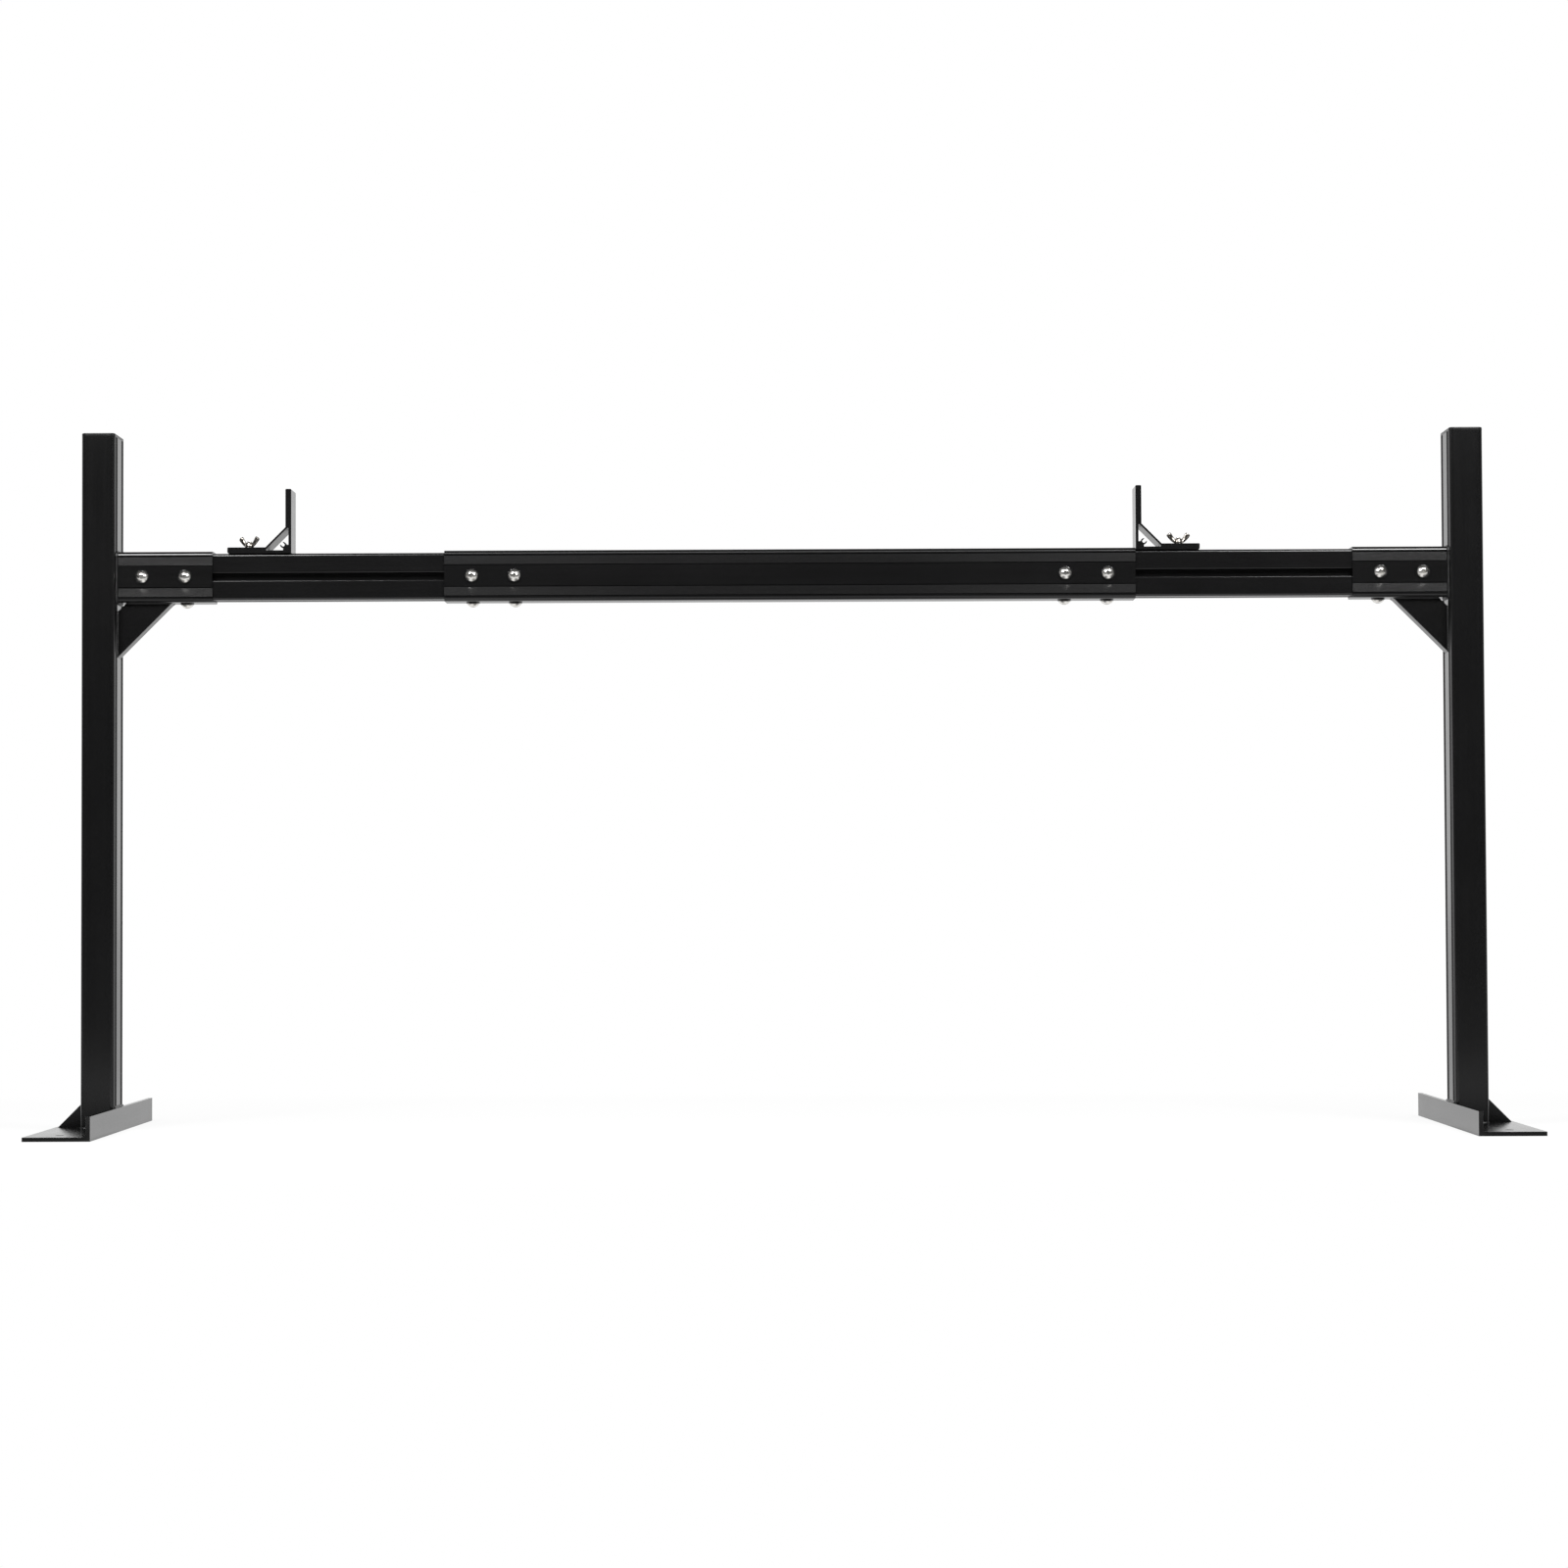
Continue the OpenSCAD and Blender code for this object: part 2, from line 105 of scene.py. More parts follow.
class RackFinish(bpy.types.PropertyGroup):
    """Colours and gloss of the rack's surfaces."""

    coat: FloatVectorProperty(
        name="Coat", description="Colour of the black coat on the aluminium", subtype="COLOR",
        size=4, min=0, max=1, default=(0.0036, 0.0036, 0.0037, 1))
    coat_worn: FloatVectorProperty(
        name="Coat, paler", description="Colour of the coat where the metal's drawing lines show",
        subtype="COLOR", size=4, min=0, max=1, default=(0.0068, 0.0068, 0.007, 1))
    coat_roughness: FloatProperty(
        name="Coat roughness", description="Satin of the black coat", subtype="FACTOR",
        min=0, max=1, default=0.18)
    zinc: FloatVectorProperty(
        name="Zinc", description="Colour of the bright zinc plating on the bolts", subtype="COLOR",
        size=4, min=0, max=1, default=(0.92, 0.91, 0.89, 1))
    zinc_warm: FloatVectorProperty(
        name="Zinc, warm", description="Faint straw tint in the bright plating", subtype="COLOR",
        size=4, min=0, max=1, default=(0.88, 0.84, 0.77, 1))
    bolt_roughness: FloatProperty(
        name="Bolt roughness", description="Satin of the bolts", subtype="FACTOR",
        min=0, max=1, default=0.26)
    dark_zinc: FloatVectorProperty(
        name="Dark zinc", description="Colour of the darker plating on the washers",
        subtype="COLOR", size=4, min=0, max=1, default=(0.2, 0.2, 0.2, 1))
    washer_roughness: FloatProperty(
        name="Washer roughness", description="Gloss of the washers", subtype="FACTOR",
        min=0, max=1, default=0.24)
    cast_zinc: FloatVectorProperty(
        name="Cast zinc", description="Colour of the duller plating on the wing nuts",
        subtype="COLOR", size=4, min=0, max=1, default=(0.28, 0.262, 0.24, 1))
    cast_roughness: FloatProperty(
        name="Casting roughness", description="Gloss of the wing nuts", subtype="FACTOR",
        min=0, max=1, default=0.26)
    plastic: FloatVectorProperty(
        name="Plastic", description="Colour of the moulded caps", subtype="COLOR",
        size=4, min=0, max=1, default=(0.0045, 0.0045, 0.0048, 1))
    plastic_pale: FloatVectorProperty(
        name="Plastic, paler", description="Colour between the pits of the caps' grain",
        subtype="COLOR", size=4, min=0, max=1, default=(0.01, 0.01, 0.0105, 1))
    plastic_roughness: FloatProperty(
        name="Plastic roughness", description="Satin of the caps", subtype="FACTOR",
        min=0, max=1, default=0.28)


class RackWork(bpy.types.PropertyGroup):
    """Sizes of what the workshop adds: rounded edges, welds, the cast wings and the thread."""

    edge: FloatProperty(
        name="Edge", description="Rounding of cut edges", unit="LENGTH",
        min=0.0001, max=0.002, default=0.0004)
    root: FloatProperty(
        name="Foot root", description="Fillet inside the foot's angle", unit="LENGTH",
        min=0.0005, max=0.004, default=0.002)
    fine_edge: FloatProperty(
        name="Fine edge", description="Rounding of saw cuts and of a cap's lower edge",
        unit="LENGTH", min=0.00005, max=0.001, default=0.00025)
    washer_edge: FloatProperty(
        name="Washer edge", description="Rounding of the washers' rims", unit="LENGTH",
        min=0.00005, max=0.0005, default=0.00012)
    lip: FloatProperty(
        name="Lip", description="Rounding of the slots' lips", unit="LENGTH",
        min=0.00005, max=0.0004, default=0.0003)
    weld: FloatProperty(
        name="Weld", description="Half width of the weld beads", unit="LENGTH",
        min=0.001, max=0.006, default=0.0026)
    ripple: FloatProperty(
        name="Ripple", description="Length of one ripple in a bead", unit="LENGTH",
        min=0.001, max=0.008, default=0.0032)
    cap_edge: FloatProperty(
        name="Cap edge", description="Rounding of a cap's upper edge", unit="LENGTH",
        min=0.0003, max=0.003, default=0.0014)
    wing_thick: FloatProperty(
        name="Wing", description="Thickness of a wing nut's wings", unit="LENGTH",
        min=0.0015, max=0.005, default=0.0042)
    thread: FloatProperty(
        name="Thread", description="Pitch of the thread on the stops' bolts", unit="LENGTH",
        min=0.0005, max=0.002, default=0.001)


class RackStudio(bpy.types.PropertyGroup):
    """Floor, backdrop and lamps."""

    floor: FloatVectorProperty(
        name="Floor", description="Colour of the floor", subtype="COLOR",
        size=4, min=0, max=1, default=(0.9, 0.9, 0.9, 1))
    reach: FloatProperty(
        name="Floor size", description="Length of the floor's sides", unit="LENGTH",
        min=5, max=200, default=120)
    shade: FloatProperty(
        name="Shadow", description="How much of the shadow shows", subtype="FACTOR",
        min=0, max=1, default=0.1)
    ambient: FloatProperty(
        name="Ambient", description="Brightness of the room for plain surfaces",
        min=0, max=2, default=0.3)
    dark_front: FloatProperty(
        name="Dark front", description="What gloss shows on the camera's side",
        min=0, max=1, default=0.02)
    # The floor's glow in gloss is painted by place from these levels: dark on the camera's side,
    # bright just in front of and below the rack, dimmer behind
    dark_floor: FloatProperty(
        name="Dark floor", description="What gloss shows of the floor on the camera's side",
        min=0, max=1, default=0.06)
    front_floor: FloatProperty(
        name="Front floor", description="What gloss shows of the floor just in front of the rack",
        min=0, max=1, default=0.9)
    # Painted shadow: the floor's glow in gloss is painted this dark beside the feet and under the
    # middle, where shade would fall; no flag stands there
    flag_floor: FloatProperty(
        name="Flagged floor", description="What gloss shows of the floor where flags shade it",
        min=0, max=1, default=0.05)
    near_floor: FloatProperty(
        name="Near floor", description="What gloss shows of the floor below the rack",
        min=0, max=1, default=0.85)
    far_floor: FloatProperty(
        name="Far floor", description="What gloss shows of the floor behind the rack",
        min=0, max=1, default=0.75)
    boxes: FloatProperty(
        name="Soft boxes", description="Power of each soft box in front", unit="POWER",
        min=0, max=500, default=52)
    fill: FloatProperty(
        name="Fill", description="Power of the broad lamp in front", unit="POWER",
        min=0, max=500, default=10)


class Wire:
    """An output of a node that can be used in arithmetic."""

    def __init__(self, recipe, node, output=0):
        self.recipe, self.node, self.socket = recipe, node, node.outputs[output]

    def out(self, output):
        """Another output of the same node."""
        return Wire(self.recipe, self.node, output)

    def _math(self, operation, first, second):
        return self.recipe.node("ShaderNodeMath", {"operation": operation}, {0: first, 1: second})

    def __add__(self, other):
        return self._math("ADD", self, other)

    __radd__ = __add__

    def __sub__(self, other):
        return self._math("SUBTRACT", self, other)

    def __rsub__(self, other):
        return self._math("SUBTRACT", other, self)

    def __mul__(self, other):
        return self._math("MULTIPLY", self, other)

    __rmul__ = __mul__

    def least(self, other):
        """The lesser of two values."""
        return self._math("MINIMUM", self, other)

    def most(self, other):
        """The greater of two values."""
        return self._math("MAXIMUM", self, other)

    def clipped(self):
        """The value, kept between 0 and 1."""
        return self.most(0).least(1)


class Recipe:
    """The nodes of one finish."""

    def __init__(self, tree):
        self.tree = tree
        tree.nodes.clear()

    def node(self, kind, settings=None, sockets=None, output=0):
        """Adds one node: its settings, then its sockets' values or links. Returns an output."""
        made = self.tree.nodes.new(kind)
        for key, value in (settings or {}).items():
            setattr(made, key, value)
        for key, value in (sockets or {}).items():
            if isinstance(value, Wire):
                self.tree.links.new(value.socket, made.inputs[key])
            else:
                made.inputs[key].default_value = value
        return Wire(self, made, output) if made.outputs else made

    def place(self, scale=(1, 1, 1)):
        """The surface's own coordinates, in metres, stretched by scale."""
        here = self.node("ShaderNodeTexCoord", output="Object")
        return self.node("ShaderNodeMapping", sockets={"Vector": here, "Scale": scale})

    def noise(self, place, scale, detail, rough):
        """Cloudy variation between 0 and 1."""
        return self.node("ShaderNodeTexNoise", sockets={
            "Vector": place, "Scale": scale, "Detail": detail, "Roughness": rough})

    def ramp(self, value, low, high):
        """0 below low, 1 above high, eased between."""
        settings = {"interpolation_type": "SMOOTHSTEP", "clamp": True}
        return self.node("ShaderNodeMapRange", settings, {
            "Value": value, "From Min": low, "From Max": high})

    def around(self, middle, *parts):
        """A value about a middle; each part is a noise and how far it moves the value."""
        for noise, reach in parts:
            middle = (noise - HALF) * reach + middle
        return middle

    def blend(self, factor, first, second):
        """Colour between two colours."""
        return self.node("ShaderNodeMix", {"data_type": "RGBA"}, {
            "Factor": factor, "A": first, "B": second}, output="Result")

    def bump(self, height, depth, strength, under=None):
        """Normal of a surface raised by height, which is worth depth in metres."""
        sockets = {"Height": height, "Distance": depth, "Strength": strength}
        if under:
            sockets["Normal"] = under
        return self.node("ShaderNodeBump", sockets=sockets)

    def surface(self, **sockets):
        """Ends the recipe in one physical surface."""
        named = {key.replace("_", " "): value for key, value in sockets.items()}
        self.end(self.node("ShaderNodeBsdfPrincipled", sockets=named))

    def end(self, shader, kind="ShaderNodeOutputMaterial"):
        """Ends the recipe in a shader."""
        self.node(kind, sockets={"Surface": shader})


def finish_of(name, recipe, *settings):
    """A finish by its name, made when it is first asked for."""
    known = bpy.data.materials.get(name)
    if known:
        return known
    material = bpy.data.materials.new(name)
    material.use_nodes = True
    recipe(Recipe(material.node_tree), *settings)
    return material


def coat(r, look, grain):
    """Black coat on drawn aluminium; grain is the axis of the drawing lines, or None on plate."""
    stretch = 0.012
    here = r.place()
    lines = r.place([stretch if grain == axis else 1.0 for axis in (X, Y, Z)])
    if grain is None:
        streak = r.noise(here, scale=420, detail=4, rough=0.6)
    else:
        streak = r.noise(lines, scale=620, detail=4, rough=0.62)
    broad = r.noise(lines, scale=95, detail=2, rough=0.5)
    cloud = r.noise(here, scale=11, detail=3, rough=0.55)
    peel = r.noise(here, scale=900, detail=2, rough=0.5)
    speck = r.ramp(r.noise(here, scale=2600, detail=1, rough=0.4), low=0.70, high=0.80)
    tone = r.around(0.32, (streak, 0.6), (broad, 0.3), (cloud, 0.4)) + speck * 0.12
    satin = r.around(look.coat_roughness, (streak, 0.07), (cloud, 0.06), (broad, 0.04))
    drawn = r.bump(streak, depth=0.04 * MM, strength=0.1)
    r.surface(
        Base_Color=r.blend(tone.clipped(), tuple(look.coat), tuple(look.coat_worn)),
        Roughness=(satin + speck * 0.05).most(0.1), IOR=1.5,
        Normal=r.bump(peel, depth=0.04 * MM, strength=0.1, under=drawn))


def weld_skin(r, look):
    """The same coat over the rougher skin of a weld."""
    here = r.place()
    grit = r.noise(here, scale=1500, detail=4, rough=0.6)
    cloud = r.noise(here, scale=120, detail=2, rough=0.5)
    tone = r.around(0.35, (grit, 0.8), (cloud, 0.8))
    r.surface(
        Base_Color=r.blend(tone.clipped(), tuple(look.coat), tuple(look.coat_worn)),
        Roughness=r.around(look.coat_roughness + 0.22, (cloud, 0.2)), IOR=1.5,
        Normal=r.bump(grit, depth=0.08 * MM, strength=0.25))


def zinc(r, roughness, plain, warm):
    """Zinc plating, as rough as asked, that varies between two colours and has dull spots."""
    here = r.place()
    cloud = r.noise(here, scale=160, detail=3, rough=0.55)
    grain = r.noise(here, scale=2400, detail=3, rough=0.6)
    spot = r.ramp(r.noise(here, scale=900, detail=2, rough=0.5), low=0.62, high=0.74)
    plating = r.blend(r.around(0.35, (cloud, 1.6)).clipped(), plain, warm)
    dull = [share * 0.55 for share in plain[:3]] + [1]
    satin = r.around(roughness, (cloud, 0.22), (grain, 0.14)) + spot * 0.1
    r.surface(
        Base_Color=r.blend(spot * 0.35, plating, dull), Metallic=1.0, Roughness=satin.most(0.08),
        Normal=r.bump(grain, depth=0.04 * MM, strength=0.15))


def plastic(r, look):
    """Moulded black plastic with a fine spark-eroded grain."""
    here = r.place()
    pits = r.node("ShaderNodeTexVoronoi", {"feature": "SMOOTH_F1"}, {
        "Vector": here, "Scale": 1700, "Smoothness": 0.6}, output="Distance")
    cloud = r.noise(here, scale=45, detail=3, rough=0.5)
    tone = (cloud - HALF) * 0.8 + pits * 0.5
    r.surface(
        Base_Color=r.blend(tone.clipped(), tuple(look.plastic), tuple(look.plastic_pale)),
        Roughness=r.around(look.plastic_roughness, (cloud, 0.12)) + pits * 0.05,
        IOR=1.46, Specular_IOR_Level=0.3, Normal=r.bump(pits, depth=0.08 * MM, strength=0.08))


def paint(node, material):
    """Gives a solid that stays its finish."""
    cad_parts[node].material_slots[0].material = material


def add_piece(bm, name, body, material, replaced=(), flats=True):
    """Turns a bmesh into a piece that moves with a body; flats keeps wide faces evenly lit."""
    mesh = bpy.data.meshes.new(name)
    bm.to_mesh(mesh)
    bm.free()
    for layer in ("custom_normal", "sharp_face"):
        if layer in mesh.attributes:
            mesh.attributes.remove(mesh.attributes[layer])
    mesh.materials.clear()
    mesh.materials.append(material)
    for face in mesh.polygons:
        face.material_index = 0
    mesh.shade_smooth()
    mesh.set_sharp_from_angle(angle=SMOOTH)
    piece = bpy.data.objects.new(name, mesh)
    bpy.context.scene.collection.objects.link(piece)
    if flats:
        shading = piece.modifiers.new("flats_stay_flat", "WEIGHTED_NORMAL")
        shading.keep_sharp = True
    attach(piece, body)
    if replaced:
        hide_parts(*replaced)
    return piece


def merged_copy(node):
    """A solid's mesh with its corners joined and its flat faces whole."""
    bm = bmesh.new()
    bm.from_mesh(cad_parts[node].data)
    bmesh.ops.remove_doubles(bm, verts=bm.verts, dist=MERGE)
    bmesh.ops.dissolve_limit(
        bm, angle_limit=FLAT, use_dissolve_boundaries=False, verts=bm.verts, edges=bm.edges,
        delimit=set())
    if not bm.faces:
        raise RuntimeError(f"{node} has no faces")
    return bm


def corners(bm, wanted=lambda edge: True):
    """Edges between two faces that meet at a corner, and that are wanted."""
    return [e for e in bm.edges
            if len(e.link_faces) == 2 and e.calc_face_angle() > SHARP and wanted(e)]


def round_over(bm, edges, size, segments):
    """Rounds edges over."""
    bmesh.ops.bevel(
        bm, geom=edges, offset=size, offset_type="OFFSET", affect="EDGES", segments=segments,
        profile=0.5, material=-1, clamp_overlap=True)


def box_between(lo, hi):
    """A box between two corners."""
    bm = bmesh.new()
    place = Matrix.Translation((lo + hi) / 2) @ Matrix.Diagonal((*(hi - lo), 1))
    bmesh.ops.create_cube(bm, size=1, matrix=place)
    return bm


def close_ends(bm):
    """Fills the open ends of a skin."""
    bmesh.ops.holes_fill(bm, edges=[e for e in bm.edges if e.is_boundary], sides=0)


def loft(bm, edges, stations, closed):
    """Carries a ring of edges from station to station and leaves its skin behind."""
    for here, there in zip(stations, stations[1:]):
        grown = bmesh.ops.extrude_edge_only(bm, edges=edges)["geom"]
        verts = [g for g in grown if isinstance(g, bmesh.types.BMVert)]
        fresh = set(verts)
        edges = [e for g in verts for e in g.link_edges if e.other_vert(g) in fresh]
        edges = list(dict.fromkeys(edges))
        bmesh.ops.transform(bm, matrix=there @ here.inverted(), verts=verts)
    if closed:
        bmesh.ops.remove_doubles(bm, verts=bm.verts, dist=SEAM)
    else:
        close_ends(bm)
    bmesh.ops.recalc_face_normals(bm, faces=bm.faces)


def station(point, tangent, out, half_width, half_height):
    """Place, direction and size of one ring: X across the bead, Y outwards, Z along it."""
    side = out.cross(tangent).normalized()
    out = tangent.cross(side).normalized()
    turn = Matrix((side * half_width, out * half_height, tangent)).transposed().to_4x4()
    return Matrix.Translation(point) @ turn


def straight(start, end, out):
    """Path from one point to another with one outward direction."""
    return [(Vector(start), out.normalized()), (Vector(end), out.normalized())]


def rounded_loop(centre, u, v, half_u, half_v, radius, out):
    """Path round a rectangle with round corners, its outward directions leaning towards out."""
    path = []
    for corner, (su, sv) in enumerate(((1, 1), (-1, 1), (-1, -1), (1, -1))):
        middle = centre + u * su * (half_u - radius) + v * sv * (half_v - radius)
        for step in range(QUARTER_STEPS + 1):
            a = math.radians(90 * (corner + step / QUARTER_STEPS))
            ray = u * math.cos(a) + v * math.sin(a)
            path.append((middle + ray * radius, (ray + out).normalized()))
    return path


def spaced(path, step, closed):
    """Points on a path at even steps, each with its outward direction."""
    path = list(path) + ([path[0]] if closed else [])
    reach = [0.0]
    for (a, _), (b, _) in zip(path, path[1:]):
        reach.append(reach[-1] + (b - a).length)
    count = max(FEWEST_STEPS, round(reach[-1] / step))
    marks, k = [], 0
    for i in range(count + 1):
        at = reach[-1] * i / count
        while k < len(path) - 2 and reach[k + 1] < at:
            k += 1
        share = (at - reach[k]) / max(reach[k + 1] - reach[k], TINY)
        (point, out), (next_point, next_out) = path[k], path[k + 1]
        marks.append((point.lerp(next_point, share), out.lerp(next_out, share).normalized()))
    return marks


def weld_bead(path, size, ripple, closed=False):
    """One rippled bead laid along a path of points and outward directions."""
    beats = len(RIPPLE_SWELL)
    marks = spaced(path, ripple / beats, closed)
    if closed:
        marks = marks[:-1]
    last = len(marks) - 1
    stations = []
    for i, (point, out) in enumerate(marks):
        after = marks[(i + 1) % len(marks) if closed else min(i + 1, last)][0]
        before = marks[i - 1 if closed else max(i - 1, 0)][0]
        wander = sum(push * math.sin(i * pace + start) for push, pace, start in BEAD_WANDER)
        grow = RIPPLE_SWELL[i % beats] * (1 + wander)
        end = min(i, last - i)
        if not closed and end < len(BEAD_ENDS):
            grow *= BEAD_ENDS[end]
        half, height = size * grow, size * BEAD_HEIGHT * grow
        stations.append(station(point, (after - before).normalized(), out, half, height))
    if closed:
        stations.append(stations[0])
    bm = bmesh.new()
    bmesh.ops.create_circle(
        bm, cap_ends=False, radius=1, segments=BEAD_SIDES, matrix=stations[0])
    loft(bm, list(bm.edges), stations, closed)
    return bm


def join(target, part):
    """Adds one bmesh to another."""
    carried = bpy.data.meshes.new("carried")
    part.to_mesh(carried)
    part.free()
    target.from_mesh(carried)
    bpy.data.meshes.remove(carried)


class RACK_OT_tubes(bpy.types.Operator):
    """Coats the ribbed tubes, with drawing lines along each length"""

    bl_idname = "rack.tubes"
    bl_label = "Tubes"

    def execute(self, context):
        look = context.scene.rack_finish
        crossbar = finish_of("black_coat_crossbar", coat, look, X)
        upright = finish_of("black_coat_upright", coat, look, Z)
        paint("centre_sleeve", crossbar)
        for side in SIDES:
            paint(f"{side}_upright", upright)
            paint(f"{side}_socket", crossbar)
        return {"FINISHED"}


class RACK_OT_bars(bpy.types.Operator):
    """Makes the slotted bars, with the lips of their slots rounded"""

    bl_idname = "rack.bars"
    bl_label = "Bars"

    # A lip is an edge along the bar, longer than this, that turns by about 45 degrees
    lip_length = 0.1
    lip_turn = math.radians(40), math.radians(50)

    def execute(self, context):
        work = context.scene.rack_work
        crossbar = finish_of("black_coat_crossbar", coat, context.scene.rack_finish, X)
        for side in SIDES:
            node = f"{side}_bar"
            bm = merged_copy(node)
            round_over(bm, corners(bm, self.on_lip), work.lip, segments=3)
            add_piece(bm, f"{side}_slotted_bar", f"{side}_arm", crossbar, [node])
        return {"FINISHED"}

    def on_lip(self, edge):
        low, high = self.lip_turn
        length = abs(edge.verts[0].co.x - edge.verts[1].co.x)
        return length > self.lip_length and low < edge.calc_face_angle() < high


class RACK_OT_feet(bpy.types.Operator):
    """Makes the feet with a fillet in the angle's root and rounded edges"""

    bl_idname = "rack.feet"
    bl_label = "Feet"

    def execute(self, context):
        work = context.scene.rack_work
        foot = finish_of("black_coat_foot", coat, context.scene.rack_finish, Y)
        for side, sign in SIDES.items():
            node = f"{side}_foot"
            lo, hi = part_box(node)
            bm = merged_copy(node)
            root = Vector((sign * (min(abs(lo.x), abs(hi.x)) + FOOT_PLATE), 0, FOOT_PLATE))

            def in_root(edge):
                gaps = [v.co - root for v in edge.verts]
                return all(abs(gap.x) < LEVEL and abs(gap.z) < LEVEL for gap in gaps)

            round_over(bm, corners(bm, in_root), work.root, segments=5)
            round_over(bm, corners(bm), work.edge, segments=2)
            add_piece(bm, f"{side}_foot_angle", f"{side}_arm", foot, [node])
        return {"FINISHED"}


class RACK_OT_plates(bpy.types.Operator):
    """Makes the braces and gussets from thick plate with rounded edges"""

    bl_idname = "rack.plates"
    bl_label = "Braces and gussets"

    def execute(self, context):
        work = context.scene.rack_work
        plate = finish_of("black_coat_plate", coat, context.scene.rack_finish, None)
        for side in SIDES:
            for node in (f"{side}_brace", f"{side}_foot_gusset"):
                bm = merged_copy(node)
                round_over(bm, corners(bm), work.edge, segments=2)
                add_piece(bm, f"{node}_plate", f"{side}_arm", plate, [node])
        return {"FINISHED"}


class RACK_OT_stops(bpy.types.Operator):
    """Makes the stops with softened saw cuts"""

    bl_idname = "rack.stops"
    bl_label = "Stops"

    def execute(self, context):
        work = context.scene.rack_work
        stop = finish_of("black_coat_stop", coat, context.scene.rack_finish, Y)
        for side in SIDES:
            node, body = f"{side}_stop", f"{side}_stop_assembly"
            bm = merged_copy(node)
            depth = edge_of(node, Y, True)

            def at_cut(edge):
                return all(abs(abs(v.co.y) - depth) < MERGE for v in edge.verts)

            round_over(bm, corners(bm, at_cut), work.fine_edge, segments=1)
            add_piece(bm, f"{side}_stop_angle", body, stop, [node])
        return {"FINISHED"}


class RACK_OT_caps(bpy.types.Operator):
    """Moulds the caps: a head with round edges over a hollow plug"""

    bl_idname = "rack.caps"
    bl_label = "Caps"

    def execute(self, context):
        moulded = finish_of("black_moulded_plastic", plastic, context.scene.rack_finish)
        for side in SIDES:
            node = f"{side}_top_cap"
            lo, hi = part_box(node)
            rim = edge_of(f"{side}_upright", Z, True)
            bm = self.head(lo, hi, rim, context.scene.rack_work)
            join(bm, self.plug(lo, hi, rim))
            add_piece(bm, f"{side}_cap", f"{side}_arm", moulded, [node])
        return {"FINISHED"}

    def block(self, lo, hi, corner):
        """A block with round upright corners."""
        bm = box_between(lo, hi)
        half = (hi.z - lo.z) / 2
        upright = [e for e in bm.edges if abs(e.verts[0].co.z - e.verts[1].co.z) > half]
        round_over(bm, upright, corner, segments=8)
        return bm

    def head(self, lo, hi, rim, work):
        bm = self.block(Vector((lo.x, lo.y, rim)), hi, TUBE_CORNER)
        for level, size, segments in ((hi.z, work.cap_edge, 5), (rim, work.fine_edge, 2)):
            loop = [e for e in bm.edges if all(abs(v.co.z - level) < MERGE for v in e.verts)]
            round_over(bm, loop, size, segments)
        return bm

    def plug(self, lo, hi, rim):
        inset = Vector((PLUG_INSET, PLUG_INSET, 0))
        low, high = lo + inset, hi - inset
        high.z = rim + OVERLAP
        bm = self.block(low, high, HOLLOW_CORNER)
        under = [f for f in bm.faces if f.normal.z < FACES_DOWN]
        bmesh.ops.inset_region(bm, faces=under, thickness=PLUG_WALL, use_even_offset=True)
        raised = bmesh.ops.extrude_discrete_faces(bm, faces=under)["faces"]
        verts = list({v for f in raised for v in f.verts})
        bmesh.ops.translate(bm, vec=UP * (rim - low.z - PLUG_WALL), verts=verts)
        bmesh.ops.recalc_face_normals(bm, faces=bm.faces)
        return bm


